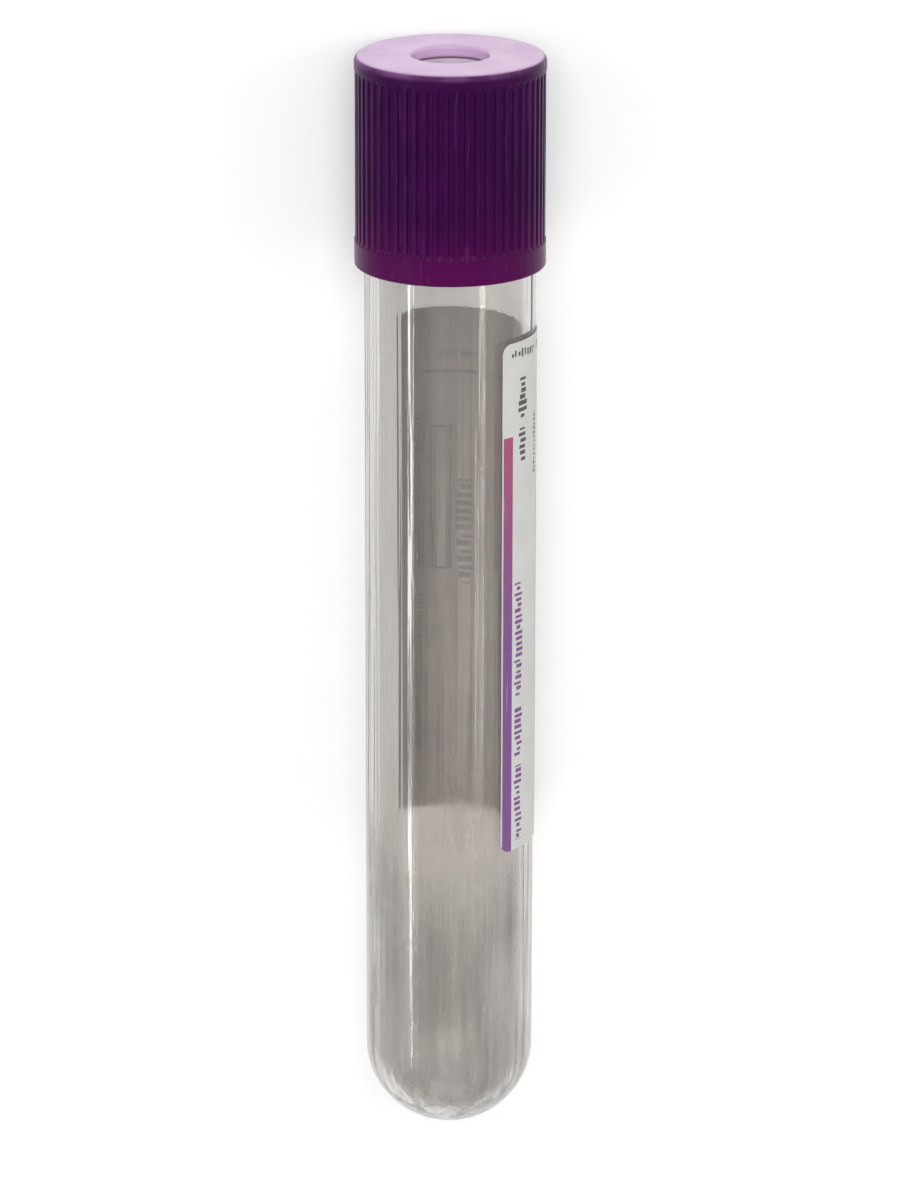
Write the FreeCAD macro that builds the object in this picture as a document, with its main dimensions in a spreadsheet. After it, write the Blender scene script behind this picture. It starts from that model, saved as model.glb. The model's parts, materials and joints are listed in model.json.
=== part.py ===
"""Evacuated blood collection tube, 16 x 100 mm, lying on its side as it comes to rest.

Four pieces: the clear moulded tube, the ribbed plastic cap, the rubber stopper that the
cap carries, and the paper label round the tube.  Each is drawn upright in its own body, with
the tube's bottom tip at the origin, its axis along +Z and the bare window towards -Y.  The
same Placement then lays every body down: the cap towards +Y, the window up, and the part
resting on the round bottom and on the cap's lower edge.
"""

import FreeCAD, Part
import math
import os
import Sketcher

doc = FreeCAD.newDocument("BloodCollectionTube")

# ---------------------------------------------------------------- driving dimensions
# Millimetres, degrees or plain counts.  Heights run up the tube's axis from its bottom tip.
SIZES = [
    ("tube_diameter", 16.0, "outside of the tube"),
    ("tube_length", 100.0, "bottom tip to rim"),
    ("tube_wall", 1.1, "wall, the same at the round bottom"),
    ("rim_round", 0.3, "rounding of the rim's two edges"),
    ("cap_wall", 0.78, "wall of the cap's skirt at its smooth bands"),
    ("cap_skirt", 14.3, "how far the cap reaches down past the rim"),
    ("cap_plate", 1.2, "thickness of the cap's top plate"),
    ("cap_clearance", 0.12, "radial, between the skirt and the tube"),
    ("cap_edge_round", 0.6, "rounding of the cap's top edge"),
    ("cap_mouth_round", 0.2, "rounding of the skirt's lower edge"),
    ("port_diameter", 7.2, "hole in the top plate, for the needle"),
    ("rib_count", 56, "grip ribs round the cap"),
    ("rib_inset", 0.08, "how far the ribs' tips lie under the smooth bands"),
    ("rib_depth", 0.25, "height of a rib above its groove"),
    ("groove_mouth", 0.55, "width of a groove at the ribs' tips"),
    ("groove_floor", 0.35, "width of a groove at its floor"),
    ("lower_band", 2.4, "smooth band under the ribs"),
    ("upper_band", 1.3, "smooth band above the ribs"),
    ("plug_length", 11.5, "stopper below the rim"),
    ("plug_clearance", 0.03, "radial, where the real rubber is squeezed"),
    ("plug_lead_height", 0.8, "height of the bevel at the plug's tip"),
    ("plug_lead_depth", 0.55, "depth of that bevel"),
    ("flange_overhang", 0.05, "how far the lower flange stops short of the tube's outside"),
    ("flange_thickness", 1.6, "lower flange, which sits on the rim"),
    ("neck_depth", 0.7, "depth of the groove above the lower flange, which the cap's ring holds"),
    ("neck_height", 0.8, "height of that groove"),
    ("head_inset", 0.32, "radial, between the upper flange and the skirt"),
    ("head_thickness", 1.9, "upper flange, held under the top plate"),
    ("snap_clearance", 0.05, "between the cap's inner ring and the stopper's groove"),
    ("well_margin", 0.2, "how far the well's mouth clears the port's wall"),
    ("well_floor_diameter", 5.8, "needle well at its floor"),
    ("well_depth", 2.3, "needle well in the stopper's head"),
    ("well_dish", 0.25, "dip at the middle of the well's floor"),
    ("hollow_diameter", 6.4, "hollow in the plug's underside"),
    ("hollow_depth", 9.5, "depth of that hollow"),
    ("hollow_round", 1.0, "rounding at the hollow's end"),
    ("label_bottom", 29.5, "bottom tip to the label's lower edge"),
    ("label_height", 50.0, "along the tube"),
    ("label_thickness", 0.1, "paper"),
    ("label_glue", 0.02, "glue layer between the paper and the tube"),
    ("label_start", 30.0, "degrees from the window's middle to the label's first edge"),
    ("label_wrap", 185.0, "degrees of the tube that the label covers"),
    ("label_corner", 1.0, "rounding of the label's corners"),
]

sheet = doc.addObject("Spreadsheet::Sheet", "Sizes")
for row, (alias, value, note) in enumerate(SIZES, start=1):
    sheet.set(f"A{row}", alias)
    sheet.set(f"B{row}", str(value))
    sheet.set(f"C{row}", note)
    sheet.setAlias(f"B{row}", alias)
doc.recompute()


# Sizes that follow from the sheet, as expressions that several pieces share.
TUBE_RADIUS = "Sizes.tube_diameter / 2"
BORE_RADIUS = f"({TUBE_RADIUS} - Sizes.tube_wall)"
SKIRT_RADIUS = f"({TUBE_RADIUS} + Sizes.cap_clearance)"
CAP_RADIUS = f"({SKIRT_RADIUS} + Sizes.cap_wall)"
RIB_RADIUS = f"({CAP_RADIUS} - Sizes.rib_inset)"
PORT_RADIUS = "Sizes.port_diameter / 2"
FLANGE_RADIUS = f"({TUBE_RADIUS} - Sizes.flange_overhang)"
NECK_RADIUS = f"({FLANGE_RADIUS} - Sizes.neck_depth)"
HOLLOW_RADIUS = "Sizes.hollow_diameter / 2"
RIM = "Sizes.tube_length"
PLUG_TIP = f"({RIM} - Sizes.plug_length)"
HOLLOW_END = f"({PLUG_TIP} + Sizes.hollow_depth)"
CAP_MOUTH = f"({RIM} - Sizes.cap_skirt)"
NECK_START = f"({RIM} + Sizes.flange_thickness)"
NECK_END = f"({NECK_START} + Sizes.neck_height)"
HEAD_TOP = f"({NECK_END} + Sizes.head_thickness)"
CAP_TOP = f"({HEAD_TOP} + Sizes.cap_plate)"
RIBS_START = f"({CAP_MOUTH} + Sizes.lower_band)"
RIBS_END = f"({CAP_TOP} - Sizes.upper_band)"


# ---------------------------------------------------------------- drawing helpers
def new_body(label):
    """A PartDesign body whose label names its node."""
    body = doc.addObject("PartDesign::Body", label)
    body.Label = label
    return body


def new_sketch(body, name, role):
    """A sketch on one of the body's own origin planes."""
    plane = next(f for f in body.Origin.OriginFeatures if f.Role == role)
    sketch = body.newObject("Sketcher::SketchObject", name)
    sketch.AttachmentSupport = [(plane, "")]
    sketch.MapMode = "FlatFace"
    return sketch


def number(expression):
    """What an expression on the sheet gives now."""
    result = sheet.evalExpression(expression)
    return float(getattr(result, "Value", result))


def bind(sketch, kind, places, expression):
    """A distance constraint whose size is an expression on the sheet."""
    index = sketch.addConstraint(Sketcher.Constraint(kind, *places, number(expression)))
    sketch.setExpression(f"Constraints[{index}]", expression)


def pin_point(sketch, edge, end, across, along):
    """Holds one end of an edge at a distance across and along from the sketch's origin."""
    for kind, expression in (("DistanceX", across), ("DistanceY", along)):
        bind(sketch, kind, (-1, 1, edge, end), expression)


def draw_outline(sketch, corners, arcs=()):
    """A closed outline through corners, each (across, along) as expressions.

    Edge i runs from corner i to the next one.  arcs maps an edge to +1 or -1: it is then a
    round stretch about a centre on the sketch's vertical axis, turned that way.
    """
    arcs = dict(arcs)
    points = [FreeCAD.Vector(number(x), number(y), 0) for x, y in corners]
    count = len(points)
    first, last = {}, {}
    for i, start in enumerate(points):
        end = points[(i + 1) % count]
        if i in arcs:
            # the centre on the axis is as far from one end of the stretch as from the other
            rise = end.y**2 + end.x**2 - start.y**2 - start.x**2
            centre = FreeCAD.Vector(0, rise / (2 * (end.y - start.y)), 0)
            low, high = (start, end) if arcs[i] > 0 else (end, start)
            angles = [math.atan2(p.y - centre.y, p.x - centre.x) for p in (low, high)]
            circle = Part.Circle(centre, FreeCAD.Vector(0, 0, 1), (start - centre).Length)
            sketch.addGeometry(Part.ArcOfCircle(circle, *angles))
        else:
            sketch.addGeometry(Part.LineSegment(start, end))
        first[i], last[i] = (1, 2) if arcs.get(i, 1) > 0 else (2, 1)
    for i in range(count):
        after = (i + 1) % count
        sketch.addConstraint(Sketcher.Constraint("Coincident", i, last[i], after, first[after]))
    for i, (across, along) in enumerate(corners):
        pin_point(sketch, i, first[i], across, along)
    for i in arcs:
        sketch.addConstraint(Sketcher.Constraint("PointOnObject", i, 3, -2))


def spin(body, sketch, name):
    """A full turn of the sketch about the body's axis."""
    turned = body.newObject("PartDesign::Revolution", name)
    turned.Profile = sketch
    turned.ReferenceAxis = (sketch, ["V_Axis"])
    turned.Angle = 360
    return turned


def round_edges(body, base, name, places, radius):
    """A fillet on the full-circle edges of base at (radius, height) places, as expressions."""
    doc.recompute()
    places = [(number(out), number(up)) for out, up in places]
    names = []
    for index, edge in enumerate(base.Shape.Edges, start=1):
        if edge.Degenerated or not edge.isClosed() or not isinstance(edge.Curve, Part.Circle):
            continue
        found = (edge.Curve.Radius, edge.Curve.Center.z)
        if any(math.dist(found, place) < 1e-4 for place in places):
            names.append(f"Edge{index}")
    if len(names) != len(places):
        raise RuntimeError(f"{name}: {len(names)} edges found for {len(places)} places")
    fillet = body.newObject("PartDesign::Fillet", name)
    fillet.Base = (base, names)
    fillet.setExpression("Radius", radius)
    return fillet


# ---------------------------------------------------------------- tube
def make_tube():
    """Clear moulded tube: one wall from the open rim to the half-round bottom."""
    body = new_body("tube")
    outline = new_sketch(body, "TubeOutline", "XZ_Plane")
    corners = [
        ("0", "0"),
        (TUBE_RADIUS, TUBE_RADIUS),
        (TUBE_RADIUS, RIM),
        (BORE_RADIUS, RIM),
        (BORE_RADIUS, TUBE_RADIUS),
        ("0", "Sizes.tube_wall"),
    ]
    draw_outline(outline, corners, {0: 1, 4: -1})
    wall = spin(body, outline, "TubeWall")
    rim_edges = [(TUBE_RADIUS, RIM), (BORE_RADIUS, RIM)]
    round_edges(body, wall, "RimRounding", rim_edges, "Sizes.rim_round")
    return body


# ---------------------------------------------------------------- label
def make_label():
    """Paper label stuck round one side of the tube, which leaves a bare window."""
    body = new_body("label")
    outline = new_sketch(body, "LabelSection", "XZ_Plane")
    middle = "Sizes.label_start + Sizes.label_wrap / 2 - 90"
    outline.AttachmentOffset = FreeCAD.Placement(
        FreeCAD.Vector(), FreeCAD.Rotation(FreeCAD.Vector(0, 1, 0), 1)
    )
    outline.setExpression("AttachmentOffset.Rotation.Angle", middle)
    inside = f"{TUBE_RADIUS} + Sizes.label_glue"
    outside = f"{inside} + Sizes.label_thickness"
    bottom, top = "Sizes.label_bottom", "Sizes.label_bottom + Sizes.label_height"
    draw_outline(outline, [(inside, bottom), (outside, bottom), (outside, top), (inside, top)])
    paper = spin(body, outline, "LabelPaper")
    paper.Midplane = True
    paper.setExpression("Angle", "Sizes.label_wrap")
    doc.recompute()
    corners = [
        f"Edge{index}"
        for index, edge in enumerate(paper.Shape.Edges, start=1)
        if edge.Length < 1.01 * number("Sizes.label_thickness")
    ]
    fillet = body.newObject("PartDesign::Fillet", "LabelCorners")
    fillet.Base = (paper, corners)
    fillet.setExpression("Radius", "Sizes.label_corner")
    return body


# ---------------------------------------------------------------- stopper
def make_stopper():
    """Rubber stopper: a hollow plug, a flange on the rim, and a head that the cap grips."""
    body = new_body("stopper")
    outline = new_sketch(body, "StopperOutline", "XZ_Plane")
    plug = f"({BORE_RADIUS} - Sizes.plug_clearance)"
    head = f"{SKIRT_RADIUS} - Sizes.head_inset"
    well_floor = f"{HEAD_TOP} - Sizes.well_depth"
    corners = [
        (HOLLOW_RADIUS, PLUG_TIP),
        (f"{plug} - Sizes.plug_lead_depth", PLUG_TIP),
        (plug, f"{PLUG_TIP} + Sizes.plug_lead_height"),
        (plug, RIM),
        (FLANGE_RADIUS, RIM),
        (FLANGE_RADIUS, NECK_START),
        (NECK_RADIUS, NECK_START),
        (NECK_RADIUS, NECK_END),
        (head, NECK_END),
        (head, HEAD_TOP),
        (f"{PORT_RADIUS} + Sizes.well_margin", HEAD_TOP),
        ("Sizes.well_floor_diameter / 2", well_floor),
        ("0", f"{well_floor} - Sizes.well_dish"),
        ("0", HOLLOW_END),
        (HOLLOW_RADIUS, HOLLOW_END),
    ]
    draw_outline(outline, corners, {11: -1})
    rubber = spin(body, outline, "StopperRubber")
    hollow_edge = [(HOLLOW_RADIUS, HOLLOW_END)]
    round_edges(body, rubber, "HollowRounding", hollow_edge, "Sizes.hollow_round")
    return body


# ---------------------------------------------------------------- cap
def make_cap():
    """Moulded cap: a top plate with the needle port, a ribbed skirt and an inner snap ring."""
    body = new_body("cap")
    outline = new_sketch(body, "CapOutline", "XZ_Plane")
    ring = f"{NECK_RADIUS} + Sizes.snap_clearance"
    ring_bottom = f"{NECK_START} + Sizes.snap_clearance"
    ring_top = f"{NECK_END} - Sizes.snap_clearance"
    corners = [
        (CAP_RADIUS, CAP_MOUTH),
        (CAP_RADIUS, RIBS_START),
        (RIB_RADIUS, RIBS_START),
        (RIB_RADIUS, RIBS_END),
        (CAP_RADIUS, RIBS_END),
        (CAP_RADIUS, CAP_TOP),
        (PORT_RADIUS, CAP_TOP),
        (PORT_RADIUS, HEAD_TOP),
        (SKIRT_RADIUS, HEAD_TOP),
        (SKIRT_RADIUS, ring_top),
        (ring, ring_top),
        (ring, ring_bottom),
        (SKIRT_RADIUS, ring_bottom),
        (SKIRT_RADIUS, CAP_MOUTH),
    ]
    draw_outline(outline, corners)
    blank = spin(body, outline, "CapBlank")
    top_edge, mouth_edge = [(CAP_RADIUS, CAP_TOP)], [(CAP_RADIUS, CAP_MOUTH)]
    rounded = round_edges(body, blank, "TopEdge", top_edge, "Sizes.cap_edge_round")
    rounded = round_edges(body, rounded, "MouthEdge", mouth_edge, "Sizes.cap_mouth_round")

    groove = new_sketch(body, "GrooveSection", "XY_Plane")
    # the section stands proud of the ribs by one depth of groove, so that it cuts right through
    tip, floor = f"{RIB_RADIUS} + Sizes.rib_depth", f"{RIB_RADIUS} - Sizes.rib_depth"
    flare = "(Sizes.groove_mouth - Sizes.groove_floor)"
    wide = f"(Sizes.groove_mouth + {flare}) / 2"
    narrow = "Sizes.groove_floor / 2"
    section = [(floor, f"-{narrow}"), (tip, f"-{wide}"), (tip, wide), (floor, narrow)]
    draw_outline(groove, section)
    groove.setExpression("AttachmentOffset.Base.z", RIBS_START)
    doc.recompute()
    before = rounded.Shape.Volume
    cut = body.newObject("PartDesign::Pocket", "Groove")
    cut.Profile = groove
    cut.Reversed = True
    cut.setExpression("Length", f"{RIBS_END} - {RIBS_START}")
    doc.recompute()
    if cut.Shape.Volume >= before:
        raise RuntimeError("the groove cuts nothing from the cap")
    ribs = body.newObject("PartDesign::PolarPattern", "Ribs")
    ribs.Originals = [cut]
    ribs.Axis = (groove, ["N_Axis"])
    ribs.Angle = 360
    ribs.setExpression("Occurrences", "Sizes.rib_count")
    body.Tip = ribs
    return body


# ---------------------------------------------------------------- resting place
def lying_down():
    """The Placement that lays the upright part on the floor, centred over the origin.

    It touches the floor at the round bottom and at the rounded lower edge of the cap, so its
    axis rises a little towards the cap.
    """
    tube, cap = number(TUBE_RADIUS), number(CAP_RADIUS)
    mouth_round, edge_round = number("Sizes.cap_mouth_round"), number("Sizes.cap_edge_round")
    # the touching circle of the cap's edge, measured from the centre of the round bottom
    along = number(CAP_MOUTH) + mouth_round - tube
    out = cap - mouth_round
    rise = math.atan2(out, along) - math.asin((tube - mouth_round) / math.hypot(out, along))
    # how far the part reaches towards the cap from the centre of the round bottom
    top = number(CAP_TOP) - edge_round - tube
    reach = top * math.cos(rise) + (cap - edge_round) * math.sin(rise) + edge_round
    turn = FreeCAD.Rotation(FreeCAD.Vector(1, 0, 0), math.degrees(rise) - 90)
    centre = FreeCAD.Vector(0, (tube - reach) / 2, tube)
    return FreeCAD.Placement(centre - turn.multVec(FreeCAD.Vector(0, 0, tube)), turn)


bodies = [make_tube(), make_label(), make_stopper(), make_cap()]
for body in bodies:
    body.Placement = lying_down()
doc.recompute()

# ---------------------------------------------------------------- checks and files
for item in doc.Objects:
    if "Invalid" in item.State or "Error" in item.State:
        raise RuntimeError(f"{item.Label} failed: {item.State}")
for body in bodies:
    if body.Shape.isNull() or not body.Shape.isValid() or len(body.Shape.Solids) != 1:
        raise RuntimeError(f"{body.Label} isn't one valid solid")

os.makedirs("parts", exist_ok=True)
for body in bodies:
    body.Shape.exportStep(f"parts/{body.Label}.step")
    box = body.Shape.BoundBox
    spans = " x ".join(f"{span:.2f}" for span in (box.XLength, box.YLength, box.ZLength))
    print(f"{body.Label}: {body.Shape.Volume:.1f} mm3, {spans} mm")
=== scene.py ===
import json
import math

import bmesh
import bpy
from mathutils import Matrix, Vector


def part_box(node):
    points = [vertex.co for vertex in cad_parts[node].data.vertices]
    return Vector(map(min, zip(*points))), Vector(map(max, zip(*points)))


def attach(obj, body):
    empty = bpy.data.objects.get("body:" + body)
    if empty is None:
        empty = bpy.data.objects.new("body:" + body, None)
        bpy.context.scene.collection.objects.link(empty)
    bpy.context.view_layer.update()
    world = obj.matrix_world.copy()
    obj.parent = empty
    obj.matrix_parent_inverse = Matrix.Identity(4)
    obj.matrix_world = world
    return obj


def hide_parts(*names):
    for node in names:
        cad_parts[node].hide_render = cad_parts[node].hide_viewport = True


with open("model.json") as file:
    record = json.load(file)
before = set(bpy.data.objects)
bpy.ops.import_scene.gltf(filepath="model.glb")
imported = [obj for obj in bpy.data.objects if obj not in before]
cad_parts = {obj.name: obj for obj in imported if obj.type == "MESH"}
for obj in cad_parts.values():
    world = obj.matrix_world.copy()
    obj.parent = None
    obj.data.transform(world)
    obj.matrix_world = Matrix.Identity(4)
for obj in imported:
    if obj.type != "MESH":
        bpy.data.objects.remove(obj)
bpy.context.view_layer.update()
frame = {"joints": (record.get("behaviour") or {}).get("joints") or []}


# ---------------------------------------------------------------- the tube
# The tube is injection moulded from clear polyester, with a half-round bottom and a rounded rim.
# It lies on its side, so every piece is turned in one upright frame, in mm, with the tip at zero
# and the window to the front, and is then laid down in its place.
tube_low, tube_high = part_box("tube")
tube_radius = (tube_high.x - tube_low.x) * 500
tube_length, tube_wall = 100, 1.1
bore_radius = tube_radius - tube_wall
rim_round = 0.3
gate_radius, gate_depth = 1.2, 0.2
tube_steps = 192
edge_hold = 0.12
sharp_angle = math.radians(30)

rise = math.asin(Vector(frame["joints"][0]["axis"]).normalized().z)
stand_up = math.pi / 2 - rise
round_centre = Vector((0, tube_low.y, tube_low.z)) + Vector((0, 1, 1)) * tube_radius / 1000
lay_down = (
    Matrix.Translation(round_centre)
    @ Matrix.Rotation(-stand_up, 4, "X")
    @ Matrix.Translation((0, 0, -tube_radius / 1000))
    @ Matrix.Scale(0.001, 4)
)


def turned(outline, steps):
    """A closed solid of revolution. outline lists the section's corners as (radius, height, round).

    Long straight runs get a point just inside each end, so that they shade straight.
    """
    solid = bmesh.new()
    corners = [solid.verts.new((radius, 0, height)) for radius, height, _ in outline]
    solid.faces.new(corners)
    for corner, (_, _, rounding) in zip(corners, outline):
        if rounding:
            bmesh.ops.bevel(
                solid, geom=[corner], offset=rounding, offset_type="OFFSET",
                segments=max(3, round(4 + 4 * rounding)), profile=0.5, affect="VERTICES",
                material=-1, clamp_overlap=False,
            )
    bmesh.ops.delete(solid, geom=solid.faces[:], context="FACES_ONLY")
    for edge in solid.edges[:]:
        start, end = edge.verts
        length = edge.calc_length()
        if length > 5 * edge_hold:
            near_start = bmesh.utils.edge_split(edge, start, edge_hold / length)[1]
            rest = next(part for part in near_start.link_edges if end in part.verts)
            bmesh.utils.edge_split(rest, end, edge_hold / rest.calc_length())
    on_axis = [edge for edge in solid.edges if all(vert.co.x < 1e-6 for vert in edge.verts)]
    bmesh.ops.delete(solid, geom=on_axis, context="EDGES")
    bmesh.ops.spin(
        solid, geom=solid.verts[:] + solid.edges[:], cent=(0, 0, 0), axis=(0, 0, 1),
        dvec=(0, 0, 0), angle=math.tau, steps=steps, use_merge=True, use_duplicate=False,
    )
    bmesh.ops.remove_doubles(solid, verts=solid.verts[:], dist=1e-4)
    bmesh.ops.recalc_face_normals(solid, faces=solid.faces[:])
    return solid


def laid(solid, name, body, node, material):
    """Lays a finished upright mesh down in its place and makes it stand for its solid."""
    bmesh.ops.transform(solid, matrix=lay_down, verts=solid.verts[:])
    mesh = bpy.data.meshes.new(name)
    solid.to_mesh(mesh)
    solid.free()
    mesh.shade_smooth()
    mesh.set_sharp_from_angle(angle=sharp_angle)
    mesh.materials.append(material)
    piece = bpy.data.objects.new(name, mesh)
    bpy.context.scene.collection.objects.link(piece)
    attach(piece, body)
    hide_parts(node)


def feed(made, inputs):
    """Sets a node's inputs, each to a value or to another node's socket."""
    for key, value in inputs.items():
        if isinstance(value, bpy.types.NodeSocket):
            made.id_data.links.new(value, made.inputs[key])
        else:
            made.inputs[key].default_value = value


def maker(tree):
    """A maker of nodes in one tree, which takes a node's kind, inputs and settings."""

    def node(kind, inputs=None, **settings):
        made = tree.nodes.new(kind)
        for key, value in settings.items():
            setattr(made, key, value)
        feed(made, inputs or {})
        return made

    return node


def finish(name):
    """A new material: (material, its maker of nodes, the shader, the upright coordinates in mm)."""
    material = bpy.data.materials.new(name)
    material.use_nodes = True
    node = maker(material.node_tree)
    turn = Matrix.Rotation(stand_up, 4, "X")
    upright = node(
        "ShaderNodeMapping",
        {
            "Vector": node("ShaderNodeTexCoord").outputs["Object"],
            "Location": Vector((0, 0, tube_radius)) - turn @ (round_centre * 1000),
            "Rotation": (stand_up, 0, 0),
            "Scale": (1000, 1000, 1000),
        },
    )
    shader = material.node_tree.nodes["Principled BSDF"]
    return material, node, shader, upright.outputs["Vector"]


def ranged(node, value, low, high, to_low=0.0, to_high=1.0, smooth=False):
    """A value mapped from low..high onto to_low..to_high, and held at its ends."""
    made = node(
        "ShaderNodeMapRange",
        {0: value, 1: low, 2: high, 3: to_low, 4: to_high},
        interpolation_type="SMOOTHSTEP" if smooth else "LINEAR",
    )
    return made.outputs[0]


def maths(node, operation, first, second=0.0, third=0.0):
    """One sum on values."""
    return node("ShaderNodeMath", {0: first, 1: second, 2: third}, operation=operation).outputs[0]


def length_of(node, vector):
    """The length of a vector."""
    return node("ShaderNodeVectorMath", {0: vector}, operation="LENGTH").outputs["Value"]


def blended(node, amount, first, second):
    """The first colour with some of the second laid over it."""
    first, second = (
        tone if isinstance(tone, bpy.types.NodeSocket) else (*tone, 1) for tone in (first, second)
    )
    made = node("ShaderNodeMix", {"Factor": amount, 6: first, 7: second}, data_type="RGBA")
    return made.outputs[2]


def streaked(node, vector, marks, detail):
    """Noise drawn out along the axes, by its number of marks per mm along each."""
    placed = node("ShaderNodeMapping", {"Vector": vector, "Scale": marks})
    made = node("ShaderNodeTexNoise", {"Vector": placed.outputs[0], "Scale": 1.0, "Detail": detail})
    return made.outputs["Fac"]


def bumped(node, relief, strength, depth):
    """The normal over a fine relief, whose depth is in metres."""
    made = node("ShaderNodeBump", {"Height": relief, "Strength": strength, "Distance": depth})
    return made.outputs["Normal"]


def new_group(name, takes, gives):
    """An empty node group: (group, its maker of nodes, its input sockets, its end node)."""
    group = bpy.data.node_groups.new(name, "ShaderNodeTree")
    for socket in takes:
        kind = "NodeSocketVector" if socket == "Vector" else "NodeSocketFloat"
        group.interface.new_socket(socket, in_out="INPUT", socket_type=kind)
    for socket in gives:
        group.interface.new_socket(socket, in_out="OUTPUT", socket_type="NodeSocketFloat")
    node = maker(group)
    return group, node, node("NodeGroupInput").outputs, node("NodeGroupOutput")


def grain_group():
    """Mottle, fine grain and hairline scratches, for every moulded or printed surface."""
    group, node, given, end = new_group(
        "worn_grain",
        ("Vector", "Mottle size", "Grain size", "Scratch length"),
        ("Mottle", "Grain", "Scratches"),
    )
    scratch_low, scratch_full = 0.69, 0.74
    scratch_ways = ((0.35, 3.0), (-0.8, 11.0))

    def noise(vector, size, detail):
        scale = maths(node, "DIVIDE", 1.0, size)
        made = node("ShaderNodeTexNoise", {"Vector": vector, "Scale": scale, "Detail": detail})
        return made.outputs["Fac"]

    lines = []
    for turn_by, seed in scratch_ways:
        stretch = node(
            "ShaderNodeMapping",
            {
                "Vector": given["Vector"],
                "Location": (seed, seed, seed),
                "Rotation": (turn_by, turn_by / 2, 0),
                "Scale": (14, 14, 1),
            },
        )
        streak = noise(stretch.outputs[0], given["Scratch length"], 1)
        lines.append(ranged(node, streak, scratch_low, scratch_full))
    feed(
        end,
        {
            "Mottle": noise(given["Vector"], given["Mottle size"], 4),
            "Grain": noise(given["Vector"], given["Grain size"], 2),
            "Scratches": maths(node, "MAXIMUM", *lines),
        },
    )
    return group


worn_grain = grain_group()


def grain(node, vector, mottle, fine, scratch):
    """The worn grain placed in a material, with its sizes in mm."""
    made = node(
        "ShaderNodeGroup",
        {"Vector": vector, "Mottle size": mottle, "Grain size": fine, "Scratch length": scratch},
        node_tree=worn_grain,
    )
    return made.outputs["Mottle"], made.outputs["Grain"], made.outputs["Scratches"]


# The polyester is clear, with a grey tint that is partly its own and partly painted shade, and its
# outline is painted darker as painted shade. Its wall has faint draw lines along it from the mould
# and hairline rubs outside, and low down inside lies a dried film in soft patches and long runs,
# greyer and darker towards the bottom, partly as painted shade.
# Painted shade: part of the clear tint's grey, and all of the edge colour's darkness.
clear_tint_and_shade = (0.805, 0.792, 0.772)
edge_painted_shade = (0.39, 0.373, 0.356)
film_high_colour = (0.53, 0.462, 0.435)
# Partly painted shade: the low film colour is darker than the film's own tone.
film_low_and_shade_colour = (0.2, 0.171, 0.152)
shadow_clear, shadow_edge = (0.9, 0.9, 0.89), (0.6, 0.59, 0.58)
film_top, film_full, film_peak, film_runs = 47, 33, 0.9, 12.0
film_cover, film_rough = 0.95, 0.5
cloud_marks, run_marks, draw_marks = (0.22, 0.22, 0.1), (0.9, 0.9, 0.05), (1.1, 1.1, 0.012)
draw_strength, draw_depth = 0.14, 0.0004
polyester_ior, polyester_rough = 1.57, 0.02

clear_polyester, node, shader, upright = finish("clear_polyester")
mottle, _, scratches = grain(node, upright, 5.0, 0.3, 6.0)
split = node("ShaderNodeSeparateXYZ", {"Vector": upright})
height = split.outputs["Z"]
drop = maths(node, "MINIMUM", maths(node, "SUBTRACT", height, tube_radius), 0.0)
off_middle = node(
    "ShaderNodeCombineXYZ", {"X": split.outputs["X"], "Y": split.outputs["Y"], "Z": drop}
)
off_middle = length_of(node, off_middle.outputs[0])
inside = maths(node, "LESS_THAN", off_middle, tube_radius - tube_wall / 2)

# The film's upper edge is ragged, and lies lowest at the sides.
cloud = streaked(node, upright, cloud_marks, 3.0)
run = streaked(node, upright, run_marks, 4.0)
sideways = maths(node, "ABSOLUTE", split.outputs["X"])
ragged = maths(node, "MULTIPLY_ADD", run, film_runs, height)
ragged = maths(node, "MULTIPLY_ADD", sideways, film_peak, ragged)
low_down = ranged(node, ragged, film_top + film_runs / 2, film_full + film_runs / 2, smooth=True)
patch = ranged(node, cloud, 0.3, 0.66, 0.55, 1.0, smooth=True)
streak = ranged(node, run, 0.3, 0.66, 0.45, 1.0)
film = maths(node, "MULTIPLY", maths(node, "MULTIPLY", patch, streak), low_down)
film = maths(node, "MULTIPLY", film, inside)

# Painted shade: the wall's colour is darkened towards the tube's outline.
facing = node("ShaderNodeLayerWeight", {"Blend": 0.35})
at_edge = ranged(node, facing.outputs["Facing"], 0.1, 0.7, 0.0, 0.8)
tint = blended(node, at_edge, clear_tint_and_shade, edge_painted_shade)
# Partly painted shade: the film is greyer and darker towards the bottom.
film_and_shade_tone = ranged(node, height, film_full - 3, film_full - 13, smooth=True)
film_and_shade_tone = blended(node, film_and_shade_tone, film_high_colour, film_low_and_shade_colour)
tint = blended(node, maths(node, "MULTIPLY", film, film_cover), tint, film_and_shade_tone)
relief = maths(node, "MULTIPLY_ADD", film, 0.03, streaked(node, upright, draw_marks, 2.0))
relief = maths(node, "MULTIPLY_ADD", scratches, -0.03, relief)
rough = maths(node, "MULTIPLY", film, film)
rough = maths(node, "MULTIPLY_ADD", rough, film_rough, polyester_rough)
rough = maths(node, "MULTIPLY_ADD", scratches, 0.12, rough)
rough = maths(node, "MULTIPLY_ADD", mottle, 0.03, rough)
feed(
    shader,
    {
        "Base Color": tint,
        "Roughness": rough,
        "Normal": bumped(node, relief, draw_strength, draw_depth),
        "Metallic": 0,
        "Transmission Weight": 1,
        "IOR": polyester_ior,
    },
)

# Light passes the clear wall, so the tube's shadow is pale and a little darker at its edges.
shadow_tone = blended(node, at_edge, shadow_clear, shadow_edge)
shade = node("ShaderNodeBsdfTransparent", {"Color": shadow_tone})
pass_light = node(
    "ShaderNodeMixShader",
    {
        0: node("ShaderNodeLightPath").outputs["Is Shadow Ray"],
        1: shader.outputs[0],
        2: shade.outputs[0],
    },
)
feed(clear_polyester.node_tree.nodes["Material Output"], {"Surface": pass_light.outputs[0]})

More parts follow.
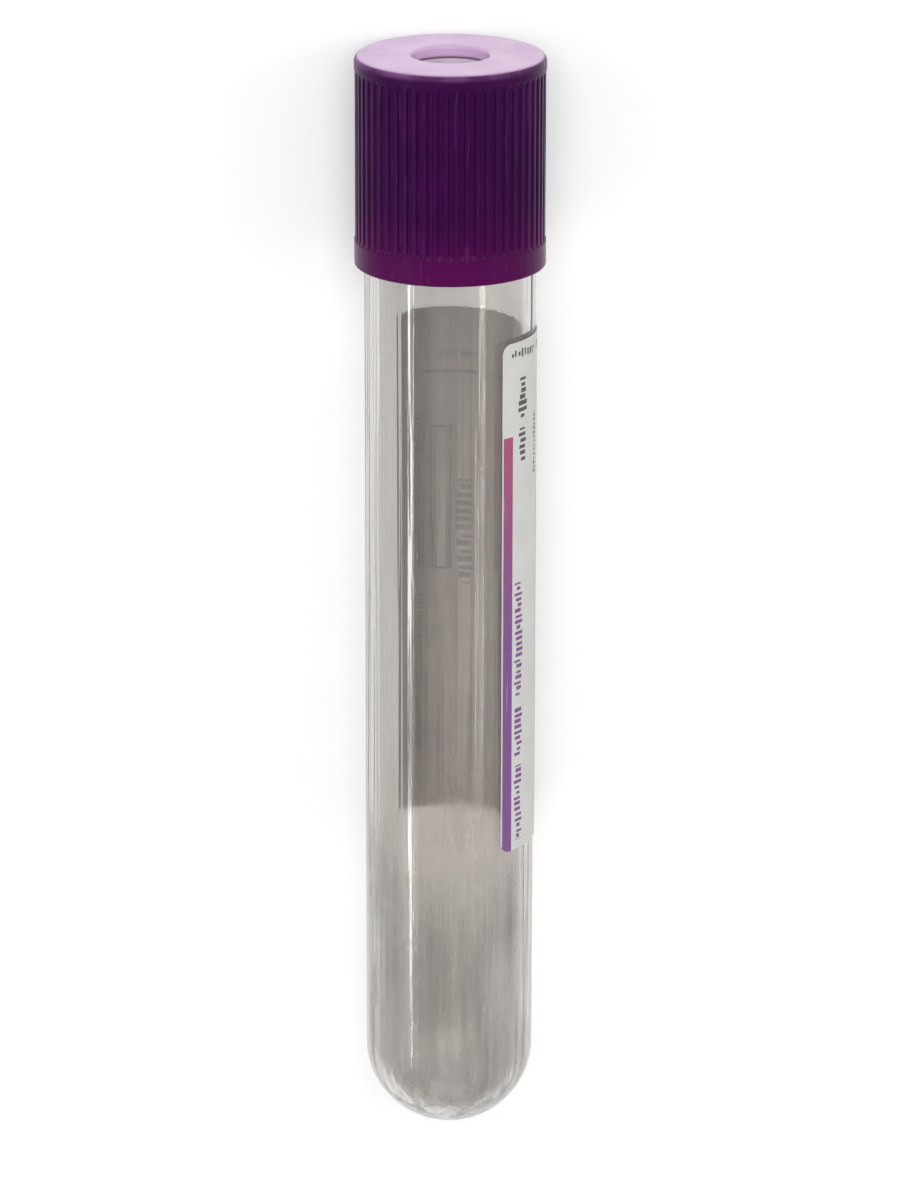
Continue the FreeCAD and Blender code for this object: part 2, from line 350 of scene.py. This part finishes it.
tube = turned(
    [
        (0, 0, 0),
        (tube_radius, 0, tube_radius),
        (tube_radius, tube_length, rim_round),
        (bore_radius, tube_length, rim_round),
        (bore_radius, tube_wall, bore_radius),
        (0, tube_wall, 0),
    ],
    tube_steps,
)
for vert in tube.verts:
    reach = vert.co.xy.length
    if vert.co.z < tube_wall / 2 and reach < gate_radius:
        vert.co.z = gate_depth if reach > gate_radius / 2 else gate_depth * 0.6
laid(tube, "clear_tube", "barrel", "tube", clear_polyester)


# ---------------------------------------------------------------- the label
# The label is white paper with rounded corners, printed in purple and black and stuck round one
# side of the tube. Its print is plain fields: a stripe by the edge, bars and writing lines.
label_low, label_high = 29.5, 79.5
label_inner, label_thick = tube_radius + 0.02, 0.1
label_start, label_wrap = math.radians(30), math.radians(185)
label_corner, corner_steps = 1.0, 8
label_bend, label_row = math.radians(2.5), 2.0
edge_lift, lift_reach = 0.04, 0.8
label_middle = label_inner + label_thick / 2
label_width = label_middle * label_wrap
label_height = label_high - label_low

sheet = bmesh.new()
bmesh.ops.create_grid(sheet, x_segments=1, y_segments=1, size=0.5)
bmesh.ops.translate(sheet, vec=(0.5, 0.5, 0), verts=sheet.verts[:])
bmesh.ops.scale(sheet, vec=(label_width, label_height, 1), verts=sheet.verts[:])
bmesh.ops.bevel(
    sheet, geom=sheet.verts[:], offset=label_corner, offset_type="OFFSET", segments=corner_steps,
    profile=0.5, affect="VERTICES", material=-1, clamp_overlap=False,
)
bends = [label_middle * label_bend * n for n in range(1, round(label_wrap / label_bend))]
rows = [label_row * n for n in range(1, round(label_height / label_row))]
for places, normal in ((bends, Vector((1, 0, 0))), (rows, Vector((0, 1, 0)))):
    for place in places:
        bmesh.ops.bisect_plane(
            sheet, geom=sheet.verts[:] + sheet.edges[:] + sheet.faces[:], dist=1e-5,
            plane_co=normal * place, plane_no=normal,
        )
bmesh.ops.remove_doubles(sheet, verts=sheet.verts[:], dist=1e-4)
raised = bmesh.ops.extrude_face_region(sheet, geom=sheet.faces[:])["geom"]
raised = [part for part in raised if isinstance(part, bmesh.types.BMVert)]
bmesh.ops.translate(sheet, vec=(0, 0, label_thick), verts=raised)
bmesh.ops.recalc_face_normals(sheet, faces=sheet.faces[:])

# The flat sheet's own places are kept for its print, and it is then bent round the tube.
print_map = sheet.loops.layers.uv.new("print")
for face in sheet.faces:
    for corner in face.loops:
        corner[print_map].uv = corner.vert.co.xy / label_height
for vert in sheet.verts:
    turn_to = label_start + vert.co.x / label_middle
    from_edge = min(vert.co.x, label_width - vert.co.x)
    lift = edge_lift * max(0, 1 - from_edge / lift_reach) ** 2
    radius = label_inner + vert.co.z + lift
    vert.co = (radius * math.sin(turn_to), -radius * math.cos(turn_to), label_low + vert.co.y)
bmesh.ops.recalc_face_normals(sheet, faces=sheet.faces[:])


def print_group():
    """A printed field: solid where the pitch is long, or a run of short uneven strokes."""
    group, node, given, end = new_group(
        "printed_field",
        ("Across", "Along", "Left", "Right", "Bottom", "Top", "Pitch", "Ragged"),
        ("Ink",),
    )
    least_stroke, stroke_spread = 0.42, 0.35

    def chance(place, seed):
        place = maths(node, "ADD", place, seed)
        return node("ShaderNodeTexWhiteNoise", {"W": place}, noise_dimensions="1D").outputs["Value"]

    def drawn_in(seed):
        share = maths(node, "MULTIPLY", chance(cell, seed), given["Ragged"])
        return maths(node, "MULTIPLY", share, wide)

    steps = maths(node, "DIVIDE", given["Along"], given["Pitch"])
    cell = maths(node, "FLOOR", steps)
    stroke = maths(node, "MULTIPLY_ADD", chance(cell, 0.37), stroke_spread, least_stroke)
    ink = maths(node, "LESS_THAN", maths(node, "FRACT", steps), stroke)
    wide = maths(node, "SUBTRACT", given["Right"], given["Left"])
    low_side = maths(node, "MULTIPLY_ADD", drawn_in(7.13), 0.5, given["Left"])
    high_side = maths(node, "MULTIPLY_ADD", drawn_in(3.91), -0.5, given["Right"])
    for test in (
        maths(node, "GREATER_THAN", given["Across"], low_side),
        maths(node, "LESS_THAN", given["Across"], high_side),
        maths(node, "GREATER_THAN", given["Along"], given["Bottom"]),
        maths(node, "LESS_THAN", given["Along"], given["Top"]),
    ):
        ink = maths(node, "MULTIPLY", ink, test)
    feed(end, {"Ink": ink})
    return group


# Each printed field: left, right, bottom and top in mm from the label's corner, the pitch and
# raggedness of its strokes, and its ink. An unbroken field has a pitch longer than the label, and
# a field with a pitch below zero has its strokes side by side along a line across the label.
unbroken = 500
black, purple = 0, 1
printed_fields = (
    (0.12, 1.3, -1, 41.0, unbroken, 0, purple),
    (2.0, 3.5, 38.4, 41.6, 0.6, 0.7, black),
    (2.0, 3.5, 42.6, 46.6, 0.6, 0.7, black),
    (1.6, 2.9, 0.9, 8.4, 0.55, 0.7, purple),
    (1.6, 2.9, 9.4, 14.2, 0.55, 0.7, purple),
    (1.6, 2.9, 15.2, 26.6, 0.55, 0.7, purple),
    (1.1, 5.2, 48.3, 49.3, -0.5, 0.7, black),
    (6.0, 9.4, 48.3, 49.3, -0.5, 0.7, black),
    (12.5, label_width - 3, 43.6, 43.85, unbroken, 0, black),
    (15.9, 21.4, 44.9, 45.8, -0.55, 0.7, black),
    (5.0, 5.8, 36.5, 42.5, 0.42, 0.6, black),
    (6.3, 6.45, 3.5, 34.5, unbroken, 0, black),
    (7.9, 8.7, 36.5, 44.0, 0.42, 0.6, black),
    (9.2, 9.35, 3.5, 34.5, unbroken, 0, black),
    (10.8, 11.6, 36.5, 41.0, 0.42, 0.6, black),
    (12.1, 12.25, 3.5, 34.5, unbroken, 0, black),
    (14.3, 15.2, 24.0, 41.2, unbroken, 0, purple),
    (17.3, 19.6, 22.6, 33.0, 0.8, 0.8, black),
    (20.1, 20.35, 24.0, 38.4, unbroken, 0, black),
    (21.85, 22.1, 24.0, 38.4, unbroken, 0, black),
    (20.1, 22.1, 24.0, 24.25, unbroken, 0, black),
    (20.1, 22.1, 38.15, 38.4, unbroken, 0, black),
    (14.4, 15.2, 3.5, 20.0, 0.42, 0.6, black),
    (17.2, 18.0, 3.5, 16.0, 0.42, 0.6, black),
    (20.8, 21.6, 2.4, 13.0, 0.42, 0.6, black),
    (23.0, 23.8, 6.0, 40.0, 0.42, 0.6, black),
)
paper_white, paper_shade = (0.63, 0.635, 0.61), (0.58, 0.585, 0.555)
# The glued grey is partly the glued side's own tone and partly painted shade.
glued_grey, glued_shade = (0.57, 0.51, 0.475), (0.225, 0.198, 0.187)
purple_ink, red_purple_ink = (0.15, 0.02, 0.21), (0.33, 0.022, 0.12)
black_ink = (0.022, 0.02, 0.024)
purple_high, red_low = 22, 40
show_through, worn_ink = 0.5, 0.88
shade_low, shade_most = 5, 0.75
glue_marks = (0.75, 0.75, 0.02)
paper_rough, ink_gloss = 0.52, 0.12
fibre_strength, fibre_depth = 0.25, 0.00003

# The face is coated white paper with a faint fibre. The glued side is greyer through the wall,
# partly its own tone and partly painted shade, and darkens towards the cap as painted shade, and
# the print shows through it faintly.
coated_paper, node, shader, upright = finish("coated_paper")
mottle, fine, scratches = grain(node, upright, 3.0, 0.12, 9.0)
on_sheet = node(
    "ShaderNodeVectorMath",
    {0: node("ShaderNodeUVMap", uv_map="print").outputs[0], 1: (label_height,) * 3},
    operation="MULTIPLY",
)
spot = node("ShaderNodeSeparateXYZ", {"Vector": on_sheet.outputs[0]})
field_kind = print_group()
inked = [0.0, 0.0]
for left, right, bottom, top, pitch, ragged, ink in printed_fields:
    across, along = spot.outputs["X"], spot.outputs["Y"]
    if pitch < 0:
        across, along = along, across
        left, right, bottom, top = bottom, top, left, right
    field = node(
        "ShaderNodeGroup",
        {
            "Across": across, "Along": along, "Left": left, "Right": right,
            "Bottom": bottom, "Top": top, "Pitch": abs(pitch), "Ragged": ragged,
        },
        node_tree=field_kind,
    )
    inked[ink] = maths(node, "MAXIMUM", inked[ink], field.outputs["Ink"])


def off_axis(node, upright):
    """The distance from the tube's axis, in mm."""
    flat = node("ShaderNodeVectorMath", {0: upright, 1: (1, 1, 0)}, operation="MULTIPLY")
    return length_of(node, flat.outputs[0])


glued = maths(node, "LESS_THAN", off_axis(node, upright), label_middle)
strength = maths(node, "MULTIPLY_ADD", glued, show_through - 1, 1.0)
strength = maths(node, "MULTIPLY", strength, ranged(node, fine, 0.25, 0.75, 1.0, worn_ink))
mottled = ranged(node, mottle, 0.3, 0.7)
face_tone = blended(node, mottled, paper_white, paper_shade)
glue_line = ranged(node, streaked(node, upright, glue_marks, 4.0), 0.36, 0.64)
glue_line = maths(node, "MULTIPLY_ADD", mottled, 0.3, maths(node, "MULTIPLY", glue_line, 0.7))
back_tone = blended(node, glue_line, glued_grey, glued_shade)
# Painted shade: the glued side darkens towards the cap.
painted_shade_to_cap = ranged(node, spot.outputs["Y"], shade_low, label_height, 0.0, shade_most)
back_tone = blended(node, painted_shade_to_cap, back_tone, glued_shade)
tone = blended(node, glued, face_tone, back_tone)
reddened = ranged(node, spot.outputs["Y"], purple_high, red_low)
stripe_ink = blended(node, reddened, purple_ink, red_purple_ink)
tone = blended(node, maths(node, "MULTIPLY", inked[purple], strength), tone, stripe_ink)
tone = blended(node, maths(node, "MULTIPLY", inked[black], strength), tone, black_ink)
tone = blended(node, maths(node, "MULTIPLY", scratches, 0.2), tone, paper_shade)
any_ink = maths(node, "MAXIMUM", inked[black], inked[purple])
rough = maths(node, "MULTIPLY_ADD", any_ink, -ink_gloss, paper_rough)
rough = maths(node, "MULTIPLY_ADD", mottle, 0.12, rough)
relief = maths(node, "MULTIPLY_ADD", mottle, 0.4, fine)
feed(
    shader,
    {
        "Base Color": tone,
        "Roughness": rough,
        "Normal": bumped(node, relief, fibre_strength, fibre_depth),
    },
)
laid(sheet, "paper_label", "barrel", "label", coated_paper)


# ---------------------------------------------------------------- the stopper
# The stopper is one moulding of soft rubber: a hollow plug in the tube's mouth, a flange that
# sits on the rim, and a head with a shallow well that the needle is pushed through.
plug_radius, plug_low, plug_lead, plug_taper = 6.87, 88.5, 0.8, 0.55
flange_radius, flange_low, flange_high = 7.95, 100.0, 101.6
neck_radius, head_low, head_high, head_radius = 7.25, 102.4, 104.3, 7.8
well_radius, well_floor, well_depth, well_dish = 3.4, 2.9, 2.3, 0.25
dish_radius = 1.1
hollow_radius, hollow_depth, hollow_round = 3.2, 9.5, 1.0
stopper_steps = 128

stopper = turned(
    [
        (0, plug_low + hollow_depth, 0),
        (hollow_radius, plug_low + hollow_depth, hollow_round),
        (hollow_radius, plug_low, 0.25),
        (plug_radius - plug_taper, plug_low, 0.25),
        (plug_radius, plug_low + plug_lead, 0.3),
        (plug_radius, flange_low, 0),
        (flange_radius, flange_low, 0.15),
        (flange_radius, flange_high, 0.25),
        (neck_radius, flange_high, 0.15),
        (neck_radius, head_low, 0.15),
        (head_radius, head_low, 0.2),
        (head_radius, head_high, 0.35),
        (well_radius, head_high, 0.3),
        (well_floor, head_high - well_depth, 0.35),
        (dish_radius, head_high - well_depth - well_dish * 0.8, 0.3),
        (0, head_high - well_depth - well_dish, 0),
    ],
    stopper_steps,
)

# The rubber is a pale lilac grey, satin, with a fine bloom on its skin.
rubber_colour, rubber_shade = (0.64, 0.54, 0.65), (0.55, 0.46, 0.56)
rubber_bloom = (0.72, 0.67, 0.73)
rubber_rough = 0.42
skin_strength, skin_depth = 0.35, 0.00008

soft_rubber, node, shader, upright = finish("soft_rubber")
mottle, fine, scratches = grain(node, upright, 2.2, 0.16, 3.0)
tone = blended(node, ranged(node, mottle, 0.3, 0.7), rubber_colour, rubber_shade)
tone = blended(node, ranged(node, fine, 0.62, 0.75, 0.0, 0.35), tone, rubber_bloom)
rough = maths(node, "MULTIPLY_ADD", mottle, 0.25, rubber_rough)
rough = maths(node, "MULTIPLY_ADD", scratches, -0.1, rough)
relief = maths(node, "MULTIPLY_ADD", mottle, 0.6, fine)
feed(
    shader,
    {
        "Base Color": tone,
        "Roughness": rough,
        "Normal": bumped(node, relief, skin_strength, skin_depth),
    },
)
laid(stopper, "rubber_stopper", "closure", "stopper", soft_rubber)


# ---------------------------------------------------------------- the cap
# The cap is moulded in one from purple plastic: a skirt with fine grip ribs between two smooth
# bands, a flat top with the needle's hole, and a snap ring inside that holds the stopper's head.
cap_low, cap_high, cap_radius = 85.7, 105.5, 8.9
cap_inner, cap_plate, port_radius = 8.12, 104.3, 3.6
snap_radius, snap_low, snap_high = 7.3, 101.65, 102.35
snap_lead, snap_back, seat_inset = 0.6, 0.4, 0.05
rib_low, rib_high, rib_inset = 88.1, 104.2, 0.08
rib_count, rib_steps, rib_depth = 56, 10, 0.25
rib_end, rib_start, rib_ring = 0.45, 0.06, 4
rib_radius = cap_radius - rib_inset
# How deep the groove is at each step across one rib, as a share of the rib's depth.
rib_section = (1, 1, 0.78, 0.05, 0, 0, 0, 0.05, 0.78, 1)

cap = turned(
    [
        (cap_radius, cap_low, 0.2),
        (cap_radius, rib_low, 0.02),
        (rib_radius, rib_low, 0.02),
        (rib_radius, rib_low + rib_end, 0),
        (rib_radius, rib_low + rib_ring, 0),
        (rib_radius, rib_low + 2 * rib_ring, 0),
        (rib_radius, rib_low + 3 * rib_ring, 0),
        (rib_radius, rib_high - rib_end, 0),
        (rib_radius, rib_high, 0.02),
        (cap_radius, rib_high, 0.02),
        (cap_radius, cap_high, 0.6),
        (port_radius, cap_high, 0.3),
        (port_radius, cap_plate, 0.1),
        (cap_inner - seat_inset, cap_plate, 0.3),
        (cap_inner - seat_inset, snap_high + snap_back, 0),
        (snap_radius, snap_high, 0.15),
        (snap_radius, snap_low, 0.15),
        (cap_inner, snap_low - snap_lead, 0.2),
        (cap_inner, cap_low, 0.2),
    ],
    rib_count * rib_steps,
)
for vert in cap.verts:
    reach = vert.co.xy.length
    if rib_low < vert.co.z < rib_high and reach > rib_radius - rib_depth / 2:
        step = round(math.atan2(vert.co.y, vert.co.x) / math.tau * rib_count * rib_steps)
        from_end = min(vert.co.z - rib_low, rib_high - vert.co.z)
        ease = min(max((from_end - rib_start) / (rib_end - rib_start), 0), 1)
        cut = rib_depth * rib_section[step % rib_steps] * ease
        vert.co.xy *= (reach - cut) / reach

# The purple is dark, and more magenta low on the skirt. The top face and the hole's wall are
# painted pale lavender, a painted highlight and reflection of the light above, and the rim and the
# scratches are rubbed lighter.
cap_purple, cap_dark = (0.04, 0.0012, 0.05), (0.028, 0.001, 0.04)
cap_magenta, cap_rubbed = (0.085, 0.0014, 0.066), (0.2, 0.08, 0.22)
# Painted highlight: the pale colours of the top face and the hole's wall, with lighter scratches.
cap_top_painted_highlight, painted_highlight_mottle = (0.68, 0.47, 0.7), (0.56, 0.37, 0.59)
painted_highlight_scratch = (0.75, 0.62, 0.77)
magenta_height, magenta_most = 7, 0.85
edge_gloss, top_gloss, gloss_rough = 0.24, 0.65, 0.25
cap_rough, cap_specular = 0.26, 0.06
wear_strength, wear_depth = 0.2, 0.00006

cap_plastic, node, shader, upright = finish("ribbed_purple_plastic")
mottle, fine, scratches = grain(node, upright, 4.0, 0.22, 5.0)
height = node("ShaderNodeSeparateXYZ", {"Vector": upright}).outputs["Z"]
low_glow = ranged(node, height, cap_low + magenta_height, cap_low, 0.0, magenta_most, smooth=True)
tone = blended(node, ranged(node, mottle, 0.35, 0.7), cap_purple, cap_dark)
tone = blended(node, low_glow, tone, cap_magenta)
rim_rub = ranged(node, height, cap_high - 0.8, cap_high - 0.15, smooth=True)
rim_rub = maths(node, "MULTIPLY", rim_rub, ranged(node, mottle, 0.4, 0.6, 0.3, 0.9))
tone = blended(node, rim_rub, tone, cap_rubbed)
tone = blended(node, maths(node, "MULTIPLY", scratches, 0.1), tone, cap_rubbed)
on_top = ranged(node, height, cap_high - 0.2, cap_high - 0.02, smooth=True)
in_port = maths(node, "LESS_THAN", off_axis(node, upright), port_radius + 0.1)
in_port = maths(node, "MULTIPLY", in_port, ranged(node, height, cap_plate, cap_plate + 0.3))
on_top = maths(node, "MAXIMUM", on_top, in_port)
# Painted highlight: the top face and the hole's wall are painted pale.
top_painted_highlight = blended(node, ranged(node, mottle, 0.3, 0.75), cap_top_painted_highlight, painted_highlight_mottle)
top_painted_highlight = blended(node, maths(node, "MULTIPLY", scratches, 0.4), top_painted_highlight, painted_highlight_scratch)
tone = blended(node, on_top, tone, top_painted_highlight)
rough = maths(node, "MULTIPLY_ADD", mottle, 0.16, cap_rough)
rough = maths(node, "MULTIPLY_ADD", rim_rub, 0.14, rough)
relief = maths(node, "MULTIPLY_ADD", fine, 0.35, mottle)
relief = maths(node, "MULTIPLY_ADD", scratches, -0.25, relief)
facing = node("ShaderNodeLayerWeight", {"Blend": 0.5})
gloss = ranged(node, facing.outputs["Facing"], 0.35, 0.9, 0.0, edge_gloss)
gloss = maths(node, "MAXIMUM", gloss, maths(node, "MULTIPLY", on_top, top_gloss))
feed(
    shader,
    {
        "Base Color": tone,
        "Roughness": rough,
        "Normal": bumped(node, relief, wear_strength, wear_depth),
        "Coat Weight": gloss,
        "Coat Roughness": gloss_rough,
        "Specular IOR Level": cap_specular,
    },
)
laid(cap, "ribbed_cap", "closure", "cap", cap_plastic)


# ---------------------------------------------------------------- the floor, lamps and camera
# The tube lies on a plain white floor under soft studio lamps: one large lamp overhead, a long
# narrow one at the left for the line of light down the tube, and a fill at the right.
floor_half = 2
floor_colour = (0.86, 0.86, 0.86, 1)
floor_rough, floor_specular = 0.9, 0.1
near, far = 0.2, 1.1
near_added, far_added = 0.16, 0.62
sky_light, sky_seen = 0.5, 1.0
white = (1, 1, 1, 1)

floor_mesh = bpy.data.meshes.new("floor")
ground = bmesh.new()
bmesh.ops.create_grid(ground, x_segments=1, y_segments=1, size=floor_half)
ground.to_mesh(floor_mesh)
ground.free()
floor = bpy.data.objects.new("floor", floor_mesh)
bpy.context.scene.collection.objects.link(floor)


def seen_itself(node):
    """One where the eye sees a thing, also in gloss and through a clear wall, or else zero."""
    path = node("ShaderNodeLightPath")
    seen = maths(node, "MAXIMUM", path.outputs["Is Camera Ray"], path.outputs["Is Glossy Ray"])
    return maths(node, "MAXIMUM", seen, path.outputs["Is Transmission Ray"])


# The floor is lifted to white only where it is seen, so that no more light falls on the tube.
floor_white, node, shader, _ = finish("floor_white")
from_tube = length_of(node, node("ShaderNodeTexCoord").outputs["Object"])
added = ranged(node, from_tube, near, far, near_added, far_added)
feed(
    shader,
    {
        "Base Color": floor_colour,
        "Roughness": floor_rough,
        "Specular IOR Level": floor_specular,
        "Emission Color": white,
        "Emission Strength": maths(node, "MULTIPLY", seen_itself(node), added),
    },
)
floor_mesh.materials.append(floor_white)

world = bpy.data.worlds.new("studio")
bpy.context.scene.world = world
world.use_nodes = True
node = maker(world.node_tree)
sky_level = ranged(node, seen_itself(node), 0.0, 1.0, sky_light, sky_seen)
feed(world.node_tree.nodes["Background"], {"Color": white, "Strength": sky_level})


def lamp(name, place, wide, long, power):
    """A soft rectangular lamp aimed at the middle of the tube."""
    light = bpy.data.lights.new(name, "AREA")
    light.shape = "RECTANGLE"
    light.size, light.size_y = wide, long
    light.energy = power
    made = bpy.data.objects.new(name, light)
    made.location = place
    made.rotation_euler = (-Vector(place)).to_track_quat("-Z", "Y").to_euler()
    bpy.context.scene.collection.objects.link(made)


lamp("overhead_lamp", place=(-0.1, 0.35, 0.85), wide=0.5, long=0.5, power=4.0)
lamp("left_strip_lamp", place=(-0.434, 0.02, 0.254), wide=0.6, long=0.022, power=0.55)
lamp("right_fill_lamp", place=(0.5, 0.1, 0.4), wide=0.3, long=0.3, power=0.7)

# The eye looks down on the window from a little to the left, and from nearer the cap's end, so
# that the cap's top shows. It is aimed at a point in the tube's middle, just above the floor.
eye_turn = math.radians(7)
eye_away, eye_along, eye_aim = 0.526, 0.1668, 0.0088
eye_lens, eye_frame = 175, 36

eye = bpy.data.cameras.new("camera")
eye.sensor_fit = "VERTICAL"
eye.sensor_height = eye_frame
eye.lens = eye_lens
camera = bpy.data.objects.new("camera", eye)
camera.location = (
    -eye_away * math.sin(eye_turn),
    eye_along,
    eye_away * math.cos(eye_turn) + eye_aim,
)
camera.rotation_euler = (-math.atan2(eye_along, eye_away), -eye_turn, 0)
bpy.context.scene.collection.objects.link(camera)
bpy.context.scene.camera = camera
bpy.context.scene.view_settings.view_transform = "Standard"
